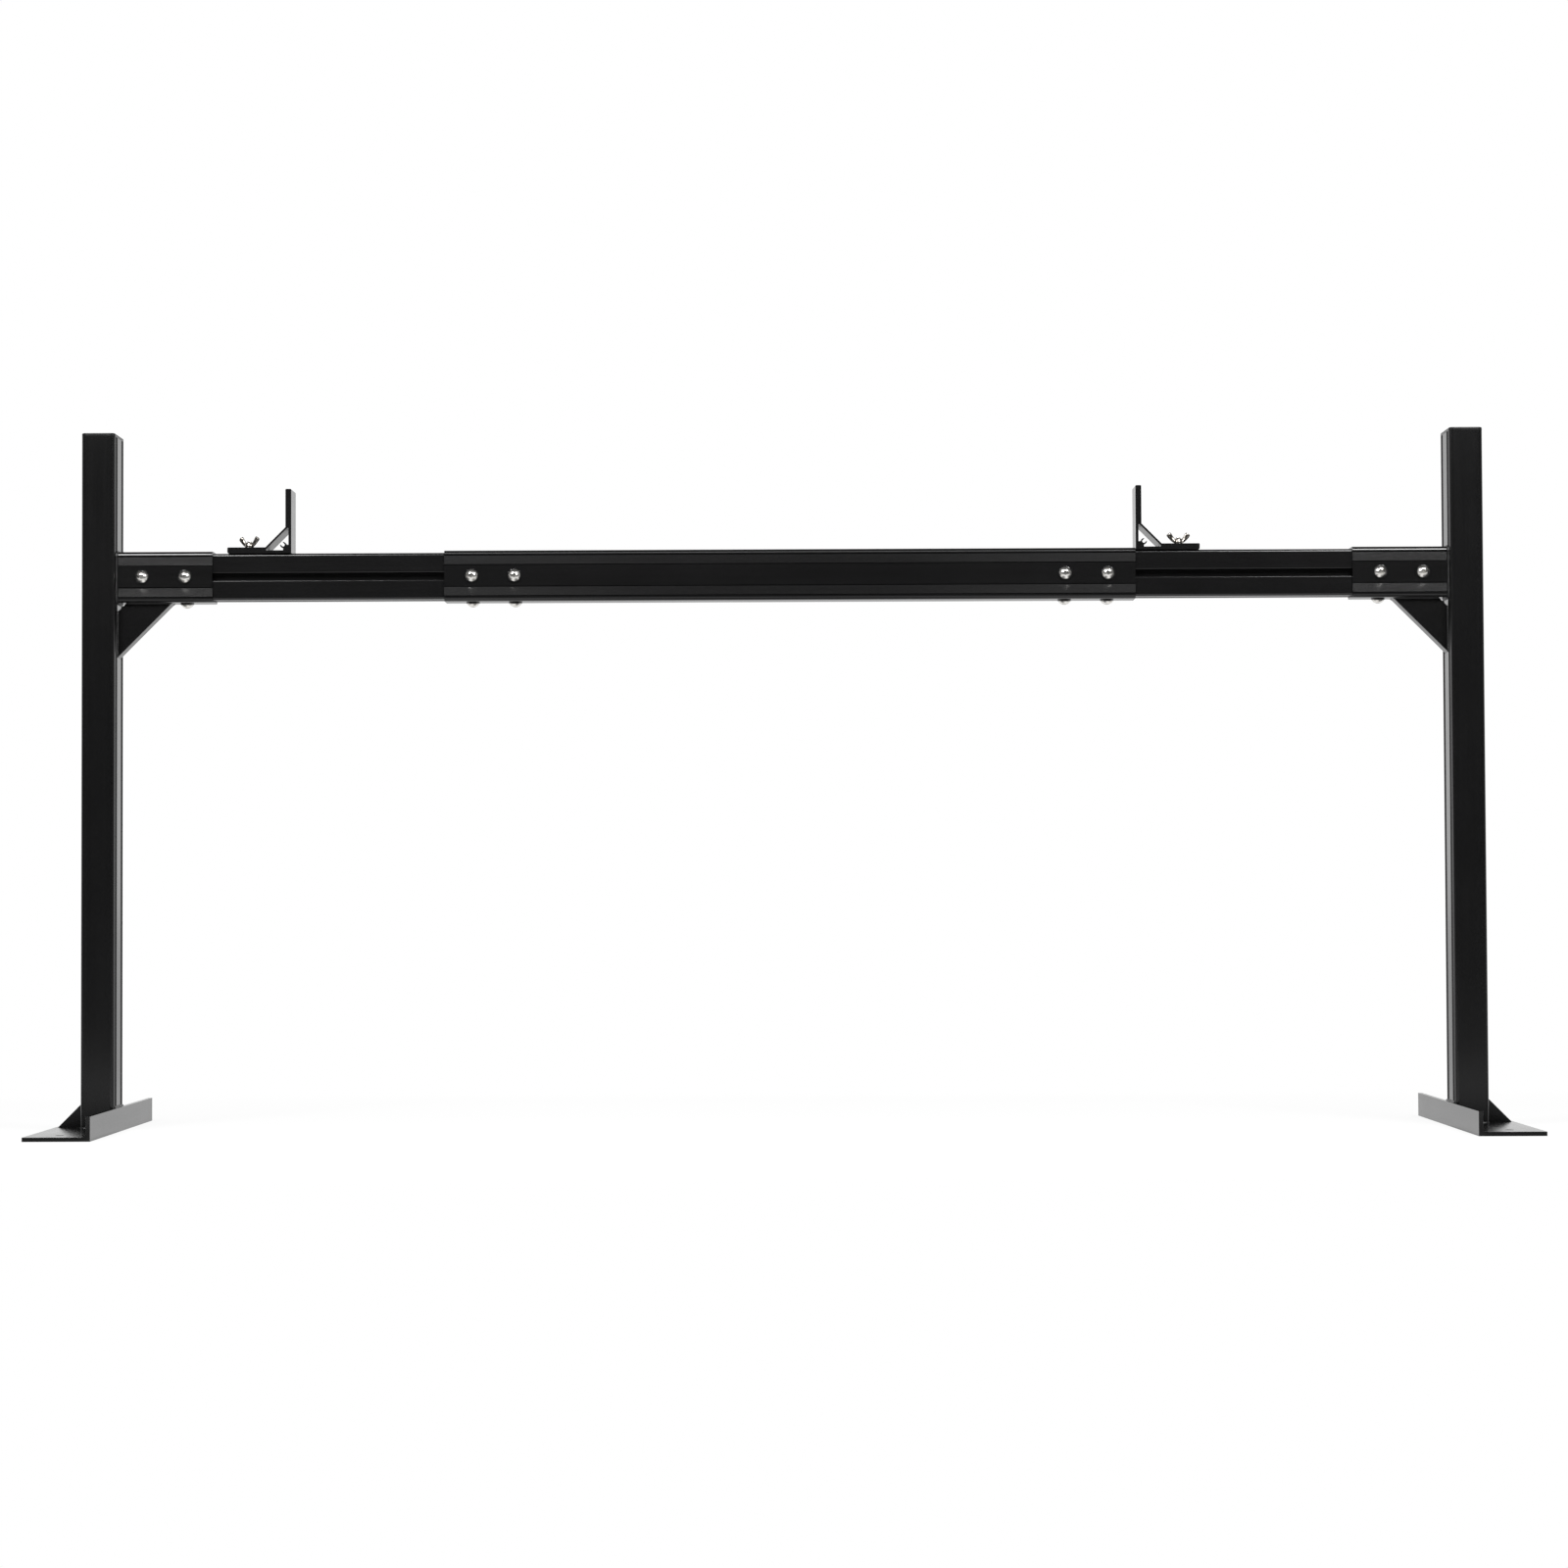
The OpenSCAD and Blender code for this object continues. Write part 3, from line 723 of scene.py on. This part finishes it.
class RACK_OT_bolts(bpy.types.Operator):
    """Plates the bolts and slot nuts, rounds the washers' rims and cuts the T bolts' thread"""

    bl_idname = "rack.bolts"
    bl_label = "Bolts and washers"

    # Thread of the T bolts: radii of crest and root, and steps of a turn
    crest, root, steps = 3 * MM, 2.62 * MM, 24
    # Outline of one turn: radius, and height against the pitch
    turn_line = ((root, 0), (crest, 0.38), (crest, 0.5), (root, 0.88), (root, 1))
    # Turns closer than this share of the pitch are joined
    turn_gap = 0.005
    # Core of the thread: facets, and rounding of its tip
    core_sides, tip_round = 32, 0.4 * MM

    def execute(self, context):
        work, look = context.scene.rack_work, context.scene.rack_finish
        bright, warm, dark = tuple(look.zinc), tuple(look.zinc_warm), tuple(look.dark_zinc)
        turned = finish_of("bright_zinc_bolt", zinc, look.bolt_roughness, bright, warm)
        stamped = finish_of("dark_zinc_washer", zinc, look.washer_roughness, dark, dark)
        paint("centre_bolts", turned)
        paint("centre_nuts", turned)
        self.washers("centre_washers", "centre_assembly", work, stamped)
        for side in SIDES:
            paint(f"{side}_socket_bolts", turned)
            paint(f"{side}_socket_nuts", turned)
            self.washers(f"{side}_socket_washers", f"{side}_arm", work, stamped)
            self.washers(f"{side}_stop_washer", f"{side}_stop_assembly", work, stamped)
            self.stud(side, work, turned)
        return {"FINISHED"}

    def washers(self, node, body, work, material):
        bm = merged_copy(node)
        round_over(bm, corners(bm), work.washer_edge, segments=2)
        add_piece(bm, f"{node}_rounded", body, material, [node])

    def stud(self, side, work, material):
        """T bolt: square head in the slot and a threaded stud."""
        node, body = f"{side}_stop_bolt", f"{side}_stop_assembly"
        lo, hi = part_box(node)
        head_top = lo.z + STUD_HEAD
        bm = box_between(lo, Vector((hi.x, hi.y, head_top)))
        round_over(bm, corners(bm), work.edge, segments=2)
        foot = (lo + hi) / 2
        foot.z = head_top - OVERLAP
        join(bm, self.thread(foot, hi.z, work.thread))
        add_piece(bm, f"{side}_stop_stud", body, material, [node])

    def thread(self, foot, top, pitch):
        """A threaded rod from foot up to top."""
        height = top - foot.z
        turns = math.floor(height / pitch) - 1
        bm = bmesh.new()
        line = [bm.verts.new(foot + Vector((r, 0, h * pitch))) for r, h in self.turn_line]
        edges = [bm.edges.new(pair) for pair in zip(line, line[1:])]
        bmesh.ops.spin(
            bm, geom=line + edges, cent=foot, axis=UP, dvec=UP * (pitch / self.steps),
            angle=math.tau * turns, steps=self.steps * turns, use_merge=False,
            use_duplicate=False)
        bmesh.ops.remove_doubles(bm, verts=bm.verts, dist=pitch * self.turn_gap)
        close_ends(bm)
        bmesh.ops.recalc_face_normals(bm, faces=bm.faces)
        core = bmesh.new()
        bmesh.ops.create_cone(
            core, cap_ends=True, segments=self.core_sides, radius1=self.root, radius2=self.root,
            depth=height, matrix=Matrix.Translation(foot + UP * height / 2))
        loop = [e for e in core.edges if all(v.co.z > foot.z + height / 2 for v in e.verts)]
        round_over(core, loop, self.tip_round, segments=2)
        join(bm, core)
        return bm


class RACK_OT_wing_nuts(bpy.types.Operator):
    """Casts the wing nuts: a tapered hub and two wings that thicken towards their ends"""

    bl_idname = "rack.wing_nuts"
    bl_label = "Wing nuts"

    # Turn of each nut about its bolt, in degrees
    turns = {"left": -26, "right": 6}
    # Hub's outline from the bore round to the bore again: radius and height, in millimetres
    hub_line = ((3.05, 0), (5.2, 0), (5.5, 0.3), (5.5, 2.4), (5.2, 3.2), (4.4, 5.4), (4.0, 6),
                (3.4, 6), (3.05, 5.6))
    hub_steps = 24
    # A wing's middle line: distance out, height, half width, and thickness against the wing's own
    wing_line = ((3.6, 2.1, 1.9, 1.3), (5.2, 3.1, 2.2, 1.0), (6.8, 4.7, 2.6, 0.75),
                 (8.3, 6.5, 2.8, 0.65), (9.5, 8.1, 3.0, 0.7), (10.4, 9.4, 3.2, 0.95),
                 (11.2, 10.6, 3.2, 1.05), (11.9, 11.6, 3.0, 0.95), (12.2, 12.0, 2.3, 0.6))
    # A ring of a wing: its facets, and its radius, which makes up for the smoothing
    wing_sides, ring = 10, 1.06

    def execute(self, context):
        work, look = context.scene.rack_work, context.scene.rack_finish
        dull = tuple(look.cast_zinc)
        cast = finish_of("dull_zinc_cast", zinc, look.cast_roughness, dull, dull)
        for side in SIDES:
            node = f"{side}_wing_nut"
            lo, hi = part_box(node)
            middle = (lo + hi) / 2
            bm = self.hub()
            for half_turn in (0, 180):
                join(bm, self.wing(work.wing_thick, half_turn))
            seat = Matrix.Translation((middle.x, middle.y, lo.z))
            turn = Matrix.Rotation(math.radians(self.turns[side]), 4, "Z")
            bmesh.ops.transform(bm, matrix=seat @ turn, verts=bm.verts)
            piece = add_piece(bm, f"{side}_cast_wing_nut", f"{side}_clamp_nut",
                              cast, [node], flats=False)
            smooth = piece.modifiers.new("smooth_casting", "SUBSURF")
            smooth.levels = smooth.render_levels = 2
        return {"FINISHED"}

    def hub(self):
        bm = bmesh.new()
        line = [bm.verts.new((r * MM, 0, h * MM)) for r, h in self.hub_line]
        edges = [bm.edges.new(pair) for pair in zip(line, line[1:] + line[:1])]
        bmesh.ops.spin(bm, geom=line + edges, cent=(0, 0, 0), axis=UP, angle=math.tau,
                       steps=self.hub_steps, use_merge=True)
        bmesh.ops.remove_doubles(bm, verts=bm.verts, dist=MERGE)
        bmesh.ops.recalc_face_normals(bm, faces=bm.faces)
        return bm

    def wing(self, thick, half_turn):
        points = [Vector((out, 0, up)) * MM for out, up, _, _ in self.wing_line]
        stations = []
        for i, (_, _, half, share) in enumerate(self.wing_line):
            ahead = points[min(i + 1, len(points) - 1)] - points[max(i - 1, 0)]
            stations.append(
                station(points[i], ahead.normalized(), ACROSS, half * MM, thick / 2 * share))
        bm = bmesh.new()
        bmesh.ops.create_circle(
            bm, cap_ends=False, radius=self.ring, segments=self.wing_sides, matrix=stations[0])
        loft(bm, list(bm.edges), stations, closed=False)
        turn = Matrix.Rotation(math.radians(half_turn), 3, "Z")
        bmesh.ops.rotate(bm, cent=(0, 0, 0), matrix=turn, verts=bm.verts)
        return bm


class RACK_OT_welds(bpy.types.Operator):
    """Lays the weld beads at the sockets, braces, gussets and feet"""

    bl_idname = "rack.welds"
    bl_label = "Welds"

    # Size of the lighter beads against the full one
    brace_share, plate_share, gusset_share, flange_share = 0.8, 0.45, 0.5, 0.7
    # A bead starts this far from a corner, and stops this far from an edge
    bead_start, bead_stop = 2 * MM, 1 * MM

    def execute(self, context):
        work = context.scene.rack_work
        skin = finish_of("black_weld", weld_skin, context.scene.rack_finish)
        for side, sign in SIDES.items():
            self.socket_weld(side, sign, work, skin)
            self.brace_weld(side, sign, work, skin)
            self.foot_weld(side, sign, work, skin)
        return {"FINISHED"}

    def socket_weld(self, side, sign, work, skin):
        lo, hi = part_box(f"{side}_socket")
        centre, half = (lo + hi) / 2, (hi - lo) / 2
        centre.x = sign * abs(edge_of(f"{side}_upright", X, sign < 0))
        path = rounded_loop(centre, ACROSS, UP, half.y, half.z, TUBE_CORNER, -sign * ALONG)
        bm = weld_bead(path, work.weld, work.ripple, closed=True)
        add_piece(bm, f"{side}_socket_weld", f"{side}_arm", skin)

    def brace_weld(self, side, sign, work, skin):
        lo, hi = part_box(f"{side}_brace")
        inner, tip = sign * max(abs(lo.x), abs(hi.x)), sign * min(abs(lo.x), abs(hi.x))
        clip_x, clip_z = inner - sign * BRACE_CLIP, hi.z - BRACE_CLIP
        bm = bmesh.new()
        for face in (-1, 1):
            y, out_y = face * hi.y, face * ACROSS
            level = straight((tip, y, hi.z), (clip_x, y, hi.z), out_y - UP)
            upright = straight((inner, y, lo.z), (inner, y, clip_z), out_y - sign * ALONG)
            for path in (level, upright):
                join(bm, weld_bead(path, work.weld * self.brace_share, work.ripple))
        add_piece(bm, f"{side}_brace_weld", f"{side}_arm", skin)

    def foot_weld(self, side, sign, work, skin):
        flange_top = edge_of(f"{side}_foot", Z, True)
        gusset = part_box(f"{side}_foot_gusset")[1]
        lo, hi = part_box(f"{side}_upright")
        inner, outer = sign * min(abs(lo.x), abs(hi.x)), sign * max(abs(lo.x), abs(hi.x))
        floor, r, out_x = lo.z, TUBE_CORNER, sign * ALONG
        foot = floor + self.bead_start
        bm = bmesh.new()
        for face in (-1, 1):
            y, gusset_y, out_y = face * hi.y, face * gusset.y, face * ACROSS
            bend = Vector((outer - sign * r, y - face * r, floor))
            plate = straight((inner + sign * r, y, floor), (bend.x, y, floor), out_y + UP)
            for step in range(1, QUARTER_STEPS):
                a = math.radians(90 * step / QUARTER_STEPS)
                ray = out_x * math.sin(a) + out_y * math.cos(a)
                plate.append((bend + ray * r, (ray + UP).normalized()))
            plate += straight((outer, bend.y, floor),
                              (outer, gusset_y + face * self.bead_stop, floor), out_x + UP)
            rise = straight((outer, gusset_y, foot),
                            (outer, gusset_y, gusset.z - self.bead_stop), out_y + out_x)
            flange = straight((inner, y, foot),
                              (inner, y, flange_top - self.bead_stop), out_y + out_x)
            for path, share in ((plate, self.plate_share), (rise, self.gusset_share),
                                (flange, self.flange_share)):
                join(bm, weld_bead(path, work.weld * share, work.ripple))
        top = straight((inner, lo.y + self.bead_start, flange_top),
                       (inner, hi.y - self.bead_start, flange_top), UP - out_x)
        join(bm, weld_bead(top, work.weld, work.ripple))
        add_piece(bm, f"{side}_foot_weld", f"{side}_arm", skin)


class RACK_OT_studio(bpy.types.Operator):
    """Sets up the white floor, the backdrop, the lamps and the camera"""

    bl_idname = "rack.studio"
    bl_label = "Studio"

    # Where the floor changes, in metres from the rack's middle: start and end of each change
    shadow_across, shadow_along = (0.2, 0.9), (0.95, 1.6)
    front_band, near_band, far_band = (-1.7, -0.8), (-0.3, -0.08), (0.5, 1.8)
    # Painted shadows in the floor's glow as gloss shows it: beside each foot and under the middle,
    # starting from the front bounds below
    foot_flag_along, foot_flag_across = (0.78, 0.81), (-0.04, 0.02)
    middle_flag_along, middle_flag_across = (0.1, 0.5), (0.1, 0.25)
    flag_front = (-0.6, -0.4)
    # Where the backdrop changes, as parts of a direction: backwards and upwards
    back_glow, overhead = (-0.4, 0.5), (0.35, 0.85)
    overhead_loss = 0.85

    def execute(self, context):
        studio = context.scene.rack_studio
        self.floor(context, studio)
        self.backdrop(context, studio)
        self.lamps(context, studio)
        self.camera(context)
        context.scene.view_settings.view_transform = "Standard"
        return {"FINISHED"}

    def seen(self, r):
        """The camera's rays, and all that show the background: reflections and clear pieces too."""
        path = r.node("ShaderNodeLightPath", output="Is Camera Ray")
        return path, (path + path.out("Is Glossy Ray") + path.out("Is Transmission Ray")).least(1)

    def floor(self, context, studio):
        bm = bmesh.new()
        bmesh.ops.create_grid(bm, x_segments=1, y_segments=1, size=studio.reach / 2)
        mesh = bpy.data.meshes.new("studio_floor")
        bm.to_mesh(mesh)
        bm.free()
        mesh.materials.append(finish_of("pale_floor", self.floor_finish, studio))
        floor = bpy.data.objects.new("studio_floor", mesh)
        context.scene.collection.objects.link(floor)

    def floor_finish(self, r, studio):
        """White to the camera, with a faint shadow; in gloss its glow is painted by place, with
        painted shadows by the feet and under the middle.
        """
        place = r.node("ShaderNodeTexCoord", output="Object")
        across = r.node("ShaderNodeSeparateXYZ", sockets={0: place}, output="Y")
        along = across.out("X")
        aside = along.most(0 - along)
        path, seen = self.seen(r)
        fade = r.ramp(across.most(0 - across), *self.shadow_across)
        fade = fade.most(r.ramp(aside, *self.shadow_along))
        lit = r.node("ShaderNodeBsdfDiffuse", sockets={"Color": tuple(studio.floor)})
        share = seen * (1 - studio.shade * (1 - fade))
        # In gloss the floor's glow is painted by place: dark on the camera's side, bright just in
        # front of and below the rack, dimmer behind
        below = (studio.dark_floor
                 + r.ramp(across, *self.front_band) * (studio.front_floor - studio.dark_floor)
                 + r.ramp(across, *self.near_band) * (studio.near_floor - studio.front_floor))
        # Painted shadows darken that glow beside the feet and under the middle of the rack, where
        # shade would fall
        feet = r.ramp(aside, *self.foot_flag_along)
        feet = feet * (1 - r.ramp(across, *self.foot_flag_across))
        middle = 1 - r.ramp(aside, *self.middle_flag_along)
        middle = middle * (1 - r.ramp(across, *self.middle_flag_across))
        flags = feet.most(middle) * r.ramp(across, *self.flag_front)
        behind = r.ramp(across, *self.far_band) * (studio.near_floor - studio.far_floor)
        below = below - flags * (studio.near_floor - studio.flag_floor) - behind
        mirrored = path.out("Is Glossy Ray") * (1 - path)
        glow = r.node("ShaderNodeEmission", sockets={
            "Color": WHITE, "Strength": 1 - mirrored * (1 - below)})
        r.end(r.node("ShaderNodeMixShader", sockets={0: share, 1: lit, 2: glow}))

    def backdrop(self, context, studio):
        world = bpy.data.worlds.new("studio_backdrop")
        context.scene.world = world
        world.use_nodes = True
        r = Recipe(world.node_tree)
        aim = r.node("ShaderNodeTexCoord", output="Generated")
        back = r.node("ShaderNodeSeparateXYZ", sockets={0: aim}, output="Y")
        path, _ = self.seen(r)
        ceiling = r.ramp(back.out("Z"), *self.overhead) * self.overhead_loss
        behind = r.ramp(back, *self.back_glow) * (1 - ceiling)
        gloss = behind * (1 - studio.dark_front) + studio.dark_front
        mirror = (path.out("Is Glossy Ray") + path.out("Is Transmission Ray")).least(1)
        unseen = mirror * gloss + (1 - mirror) * studio.ambient
        strength = path + (1 - path) * unseen
        shade = r.node("ShaderNodeBackground", sockets={"Color": WHITE, "Strength": strength})
        r.end(shade, "ShaderNodeOutputWorld")

    def lamps(self, context, studio):
        # Name, place, target, width, depth and power
        rows = (
            ("left_soft_box", (-1.25, -1.65, 2.0), (-0.5, 0, 0.6), 0.9, 0.8, studio.boxes),
            ("right_soft_box", (1.25, -1.65, 2.0), (0.5, 0, 0.6), 0.9, 0.8, studio.boxes),
            ("front_fill", (0, -1.9, 2.3), (0, 0, 0.6), 1.6, 0.6, studio.fill),
        )
        for name, place, target, width, depth, power in rows:
            lamp = bpy.data.lights.new(name, "AREA")
            lamp.shape, lamp.size, lamp.size_y, lamp.energy = "RECTANGLE", width, depth, power
            held = bpy.data.objects.new(name, lamp)
            held.location = place
            held.visible_camera = False
            aim = Vector(target) - Vector(place)
            held.rotation_euler = aim.to_track_quat("-Z", "Y").to_euler()
            context.scene.collection.objects.link(held)

    def camera(self, context):
        yaw, pitch, roll = (math.radians(a) for a in (CAMERA_YAW, CAMERA_PITCH, CAMERA_ROLL))
        ahead = Vector((math.sin(yaw) * math.cos(pitch), math.cos(yaw) * math.cos(pitch),
                        math.sin(pitch)))
        level = Vector((math.cos(yaw), -math.sin(yaw), 0))
        rise = level.cross(ahead)
        right = level * math.cos(roll) + rise * math.sin(roll)
        up = rise * math.cos(roll) - level * math.sin(roll)
        lens = bpy.data.cameras.new("photo_camera")
        lens.lens, lens.sensor_width, lens.sensor_height = CAMERA_LENS, CAMERA_SENSOR, CAMERA_SENSOR
        lens.clip_start, lens.clip_end = CAMERA_CLIP
        camera = bpy.data.objects.new("photo_camera", lens)
        turn = Matrix((right, up, -ahead)).transposed().to_4x4()
        camera.matrix_world = Matrix.Translation(CAMERA_PLACE) @ turn
        context.scene.collection.objects.link(camera)
        context.scene.camera = camera


class RACK_PT_panel(bpy.types.Panel):
    """Lists the rack's pieces, sizes and colours"""

    bl_idname = "RACK_PT_panel"
    bl_label = "Ladder rack"
    bl_space_type = "VIEW_3D"
    bl_region_type = "UI"
    bl_category = "Ladder rack"

    def draw(self, context):
        for step in STEPS:
            self.layout.operator(step.bl_idname)
        for group in GROUPS:
            box = self.layout.box()
            settings = getattr(context.scene, group)
            for key in settings.bl_rna.properties.keys():
                if key not in ("rna_type", "name"):
                    box.prop(settings, key)


STEPS = (RACK_OT_tubes, RACK_OT_bars, RACK_OT_feet, RACK_OT_plates, RACK_OT_stops, RACK_OT_caps,
         RACK_OT_bolts, RACK_OT_wing_nuts, RACK_OT_welds, RACK_OT_studio)
GROUPS = {"rack_finish": RackFinish, "rack_work": RackWork, "rack_studio": RackStudio}


def register():
    for kind in (*GROUPS.values(), *STEPS, RACK_PT_panel):
        bpy.utils.register_class(kind)
    for name, kind in GROUPS.items():
        setattr(bpy.types.Scene, name, PointerProperty(type=kind))


def unregister():
    for name in GROUPS:
        delattr(bpy.types.Scene, name)
    for kind in reversed((*GROUPS.values(), *STEPS, RACK_PT_panel)):
        bpy.utils.unregister_class(kind)


def main():
    register()
    for step in STEPS:
        group, name = step.bl_idname.split(".")
        getattr(getattr(bpy.ops, group), name)()


if __name__ == "__main__":
    main()
